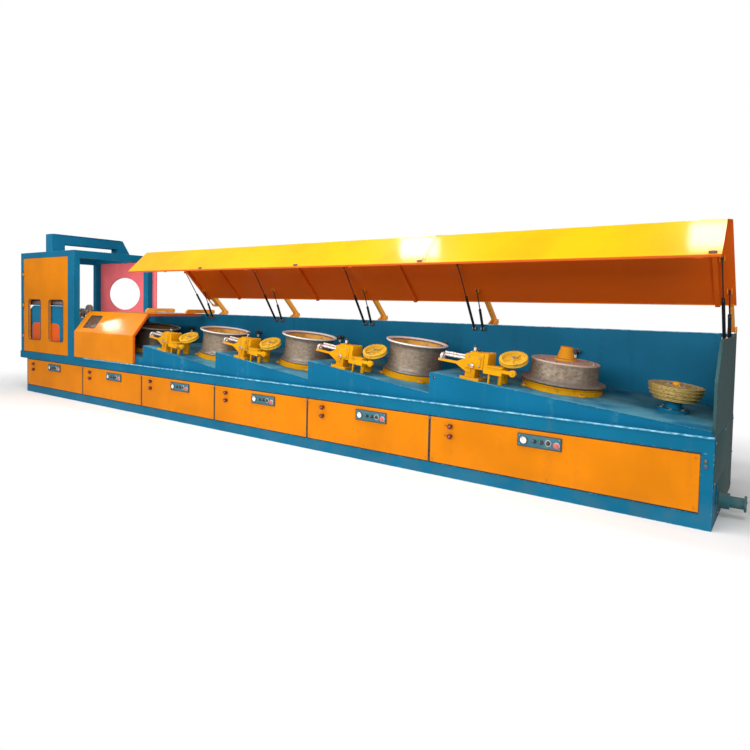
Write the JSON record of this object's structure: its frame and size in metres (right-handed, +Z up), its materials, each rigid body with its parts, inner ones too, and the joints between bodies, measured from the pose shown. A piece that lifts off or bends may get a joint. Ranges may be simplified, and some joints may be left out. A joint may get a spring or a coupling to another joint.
{
  "type": "wire drawing machine",
  "caption": "Straight-line wire drawing machine with tilted drawing blocks on a long bed, hinged guard hoods and a take-up cabinet",
  "frame": {"origin": "on the floor under the middle of the bed", "axes": "+X along the bed to the inlet end, +Y to the back, +Z up"},
  "size_m": [10.545, 1.5764, 2.559],
  "materials": {
    "blue_paint": "semi-gloss blue paint on welded steel",
    "orange_paint": "semi-gloss orange paint on sheet steel",
    "hood_paint": "glossy yellow-orange paint on sheet steel",
    "casting_yellow": "yellow paint on castings",
    "drum_steel": "worn steel drum with a polished rim",
    "hub_orange": "orange paint on a steel cap",
    "wheel_gold": "worn brassy rings",
    "strut_black": "black paint on tube",
    "rod_steel": "polished rod",
    "guard_red": "red paint on sheet steel",
    "motor_red": "orange-red paint on a motor",
    "control_face": "blue-grey panel with knobs",
    "knob_red": "dark red plastic",
    "pane_dark": "smoked sheet",
    "pipe_green": "blue-green painted pipe"
  },
  "bodies": {
    "machine": {"bed_frame": "blue_paint", "front_panels": "orange_paint", "decks": "blue_paint", "top_rail": "blue_paint", "control_stations": "control_face", "valve_knobs": "knob_red", "rear_wall": "blue_paint", "end_plate": "blue_paint", "base_rings": "casting_yellow", "spindles": "drum_steel", "die_boxes": "casting_yellow", "tuner_posts": "casting_yellow", "wheel_post": "blue_paint", "hinge_brackets": "blue_paint", "strut_brackets": "blue_paint", "cabinet_frame": "blue_paint", "door_hinges": "blue_paint", "take_up_housing": "blue_paint", "take_up_motor": "motor_red", "roof_duct": "blue_paint", "rear_guard": "guard_red", "pipe_stub": "pipe_green"},
    "block_1": {"drawing_block_1": "drum_steel"},
    "block_2": {"drawing_block_2": "drum_steel"},
    "block_3": {"drawing_block_3": "drum_steel"},
    "block_4": {"drawing_block_4": "drum_steel"},
    "block_5": {"drawing_block_5": "drum_steel", "hub_cap": "hub_orange"},
    "tuner_1": {"tuner_arm_1": "casting_yellow"},
    "tuner_2": {"tuner_arm_2": "casting_yellow"},
    "tuner_3": {"tuner_arm_3": "casting_yellow"},
    "tuner_4": {"tuner_arm_4": "casting_yellow"},
    "tuner_5": {"tuner_arm_5": "casting_yellow"},
    "wheel": {"guide_wheel": "wheel_gold"},
    "long_hood": {"open_hood": "hood_paint", "open_hood_arms": "hood_paint", "head_brackets": "strut_black"},
    "short_hood": {"closed_hood": "hood_paint", "closed_hood_arms": "hood_paint", "hood_window": "pane_dark"},
    "short_cylinders": {"short_strut_cylinders": "strut_black"},
    "short_rods": {"short_strut_rods": "rod_steel"},
    "long_cylinders": {"long_strut_cylinders": "strut_black"},
    "long_rods": {"long_strut_rods": "rod_steel"},
    "door": {"cabinet_door": "orange_paint"}
  },
  "joints": [
    {"name": "block_1_spin", "type": "hinge", "parent": "machine", "child": "block_1", "pos_m": [-2.33056, -0.07, 0.86414], "axis": [0.1296, 0, 0.9916], "continuous": true},
    {"name": "block_2_spin", "type": "hinge", "parent": "machine", "child": "block_2", "pos_m": [-0.83056, -0.07, 0.86414], "axis": [0.1296, 0, 0.9916], "continuous": true},
    {"name": "block_3_spin", "type": "hinge", "parent": "machine", "child": "block_3", "pos_m": [0.66944, -0.07, 0.86414], "axis": [0.1296, 0, 0.9916], "continuous": true},
    {"name": "block_4_spin", "type": "hinge", "parent": "machine", "child": "block_4", "pos_m": [2.16944, -0.07, 0.86414], "axis": [0.1296, 0, 0.9916], "continuous": true},
    {"name": "block_5_spin", "type": "hinge", "parent": "machine", "child": "block_5", "pos_m": [3.74374, -0.07, 0.88397], "axis": [0.1019, 0, 0.9948], "continuous": true},
    {"name": "tuner_1_swing", "type": "hinge", "parent": "machine", "child": "tuner_1", "pos_m": [-2.66798, -0.395, 0.9983], "axis": [0.1296, 0, 0.9916], "range_deg": [-15, 15]},
    {"name": "tuner_2_swing", "type": "hinge", "parent": "machine", "child": "tuner_2", "pos_m": [-1.16798, -0.395, 0.9983], "axis": [0.1296, 0, 0.9916], "range_deg": [-15, 15]},
    {"name": "tuner_3_swing", "type": "hinge", "parent": "machine", "child": "tuner_3", "pos_m": [0.33202, -0.395, 0.9983], "axis": [0.1296, 0, 0.9916], "range_deg": [-15, 15]},
    {"name": "tuner_4_swing", "type": "hinge", "parent": "machine", "child": "tuner_4", "pos_m": [1.83202, -0.395, 0.9983], "axis": [0.1296, 0, 0.9916], "range_deg": [-15, 15]},
    {"name": "tuner_5_swing", "type": "hinge", "parent": "machine", "child": "tuner_5", "pos_m": [3.32784, -0.395, 1.01633], "axis": [0.1019, 0, 0.9948], "range_deg": [-15, 15]},
    {"name": "guide_wheel_spin", "type": "hinge", "parent": "machine", "child": "wheel", "pos_m": [4.65734, -0.07, 0.82591], "axis": [0.1019, 0, 0.9948], "continuous": true},
    {"name": "long_hood_swing", "type": "hinge", "parent": "machine", "child": "long_hood", "pos_m": [0, 0.8, 1.391], "axis": [1, 0, 0], "range_deg": [0, 45.4]},
    {"name": "short_hood_swing", "type": "hinge", "parent": "machine", "child": "short_hood", "pos_m": [0, 0.8, 1.391], "axis": [-1, 0, 0], "range_deg": [0, 45.4]},
    {"name": "short_strut_swing", "type": "hinge", "parent": "machine", "child": "short_cylinders", "pos_m": [0, 0.57, 1.31], "axis": [1, 0, 0], "range_deg": [0, 62.87]},
    {"name": "short_rod_slide", "type": "slide", "parent": "short_cylinders", "child": "short_rods", "axis": [0, -0.3907, 0.9205], "range_m": [-0.15592, 0]},
    {"name": "long_strut_swing", "type": "hinge", "parent": "machine", "child": "long_cylinders", "pos_m": [0, 0.57, 1.31], "axis": [1, 0, 0], "range_deg": [0, 55.42]},
    {"name": "long_rod_slide", "type": "slide", "parent": "long_cylinders", "child": "long_rods", "axis": [0, -0.5415, 0.8407], "range_m": [-0.14239, 0]},
    {"name": "cabinet_door_swing", "type": "hinge", "parent": "machine", "child": "door", "pos_m": [-5.13, -0.679, 0.66], "axis": [0, 0, -1], "range_deg": [0, 100]}
  ],
  "couplings": [
    {"joint": "short_strut_swing", "follows": "long_hood_swing", "ratio": 1.3848},
    {"joint": "short_rod_slide", "follows": "long_hood_swing", "m_per_rad": -0.19676},
    {"joint": "long_strut_swing", "follows": "long_hood_swing", "ratio": 1.2206},
    {"joint": "long_rod_slide", "follows": "long_hood_swing", "m_per_rad": -0.17969}
  ]
}
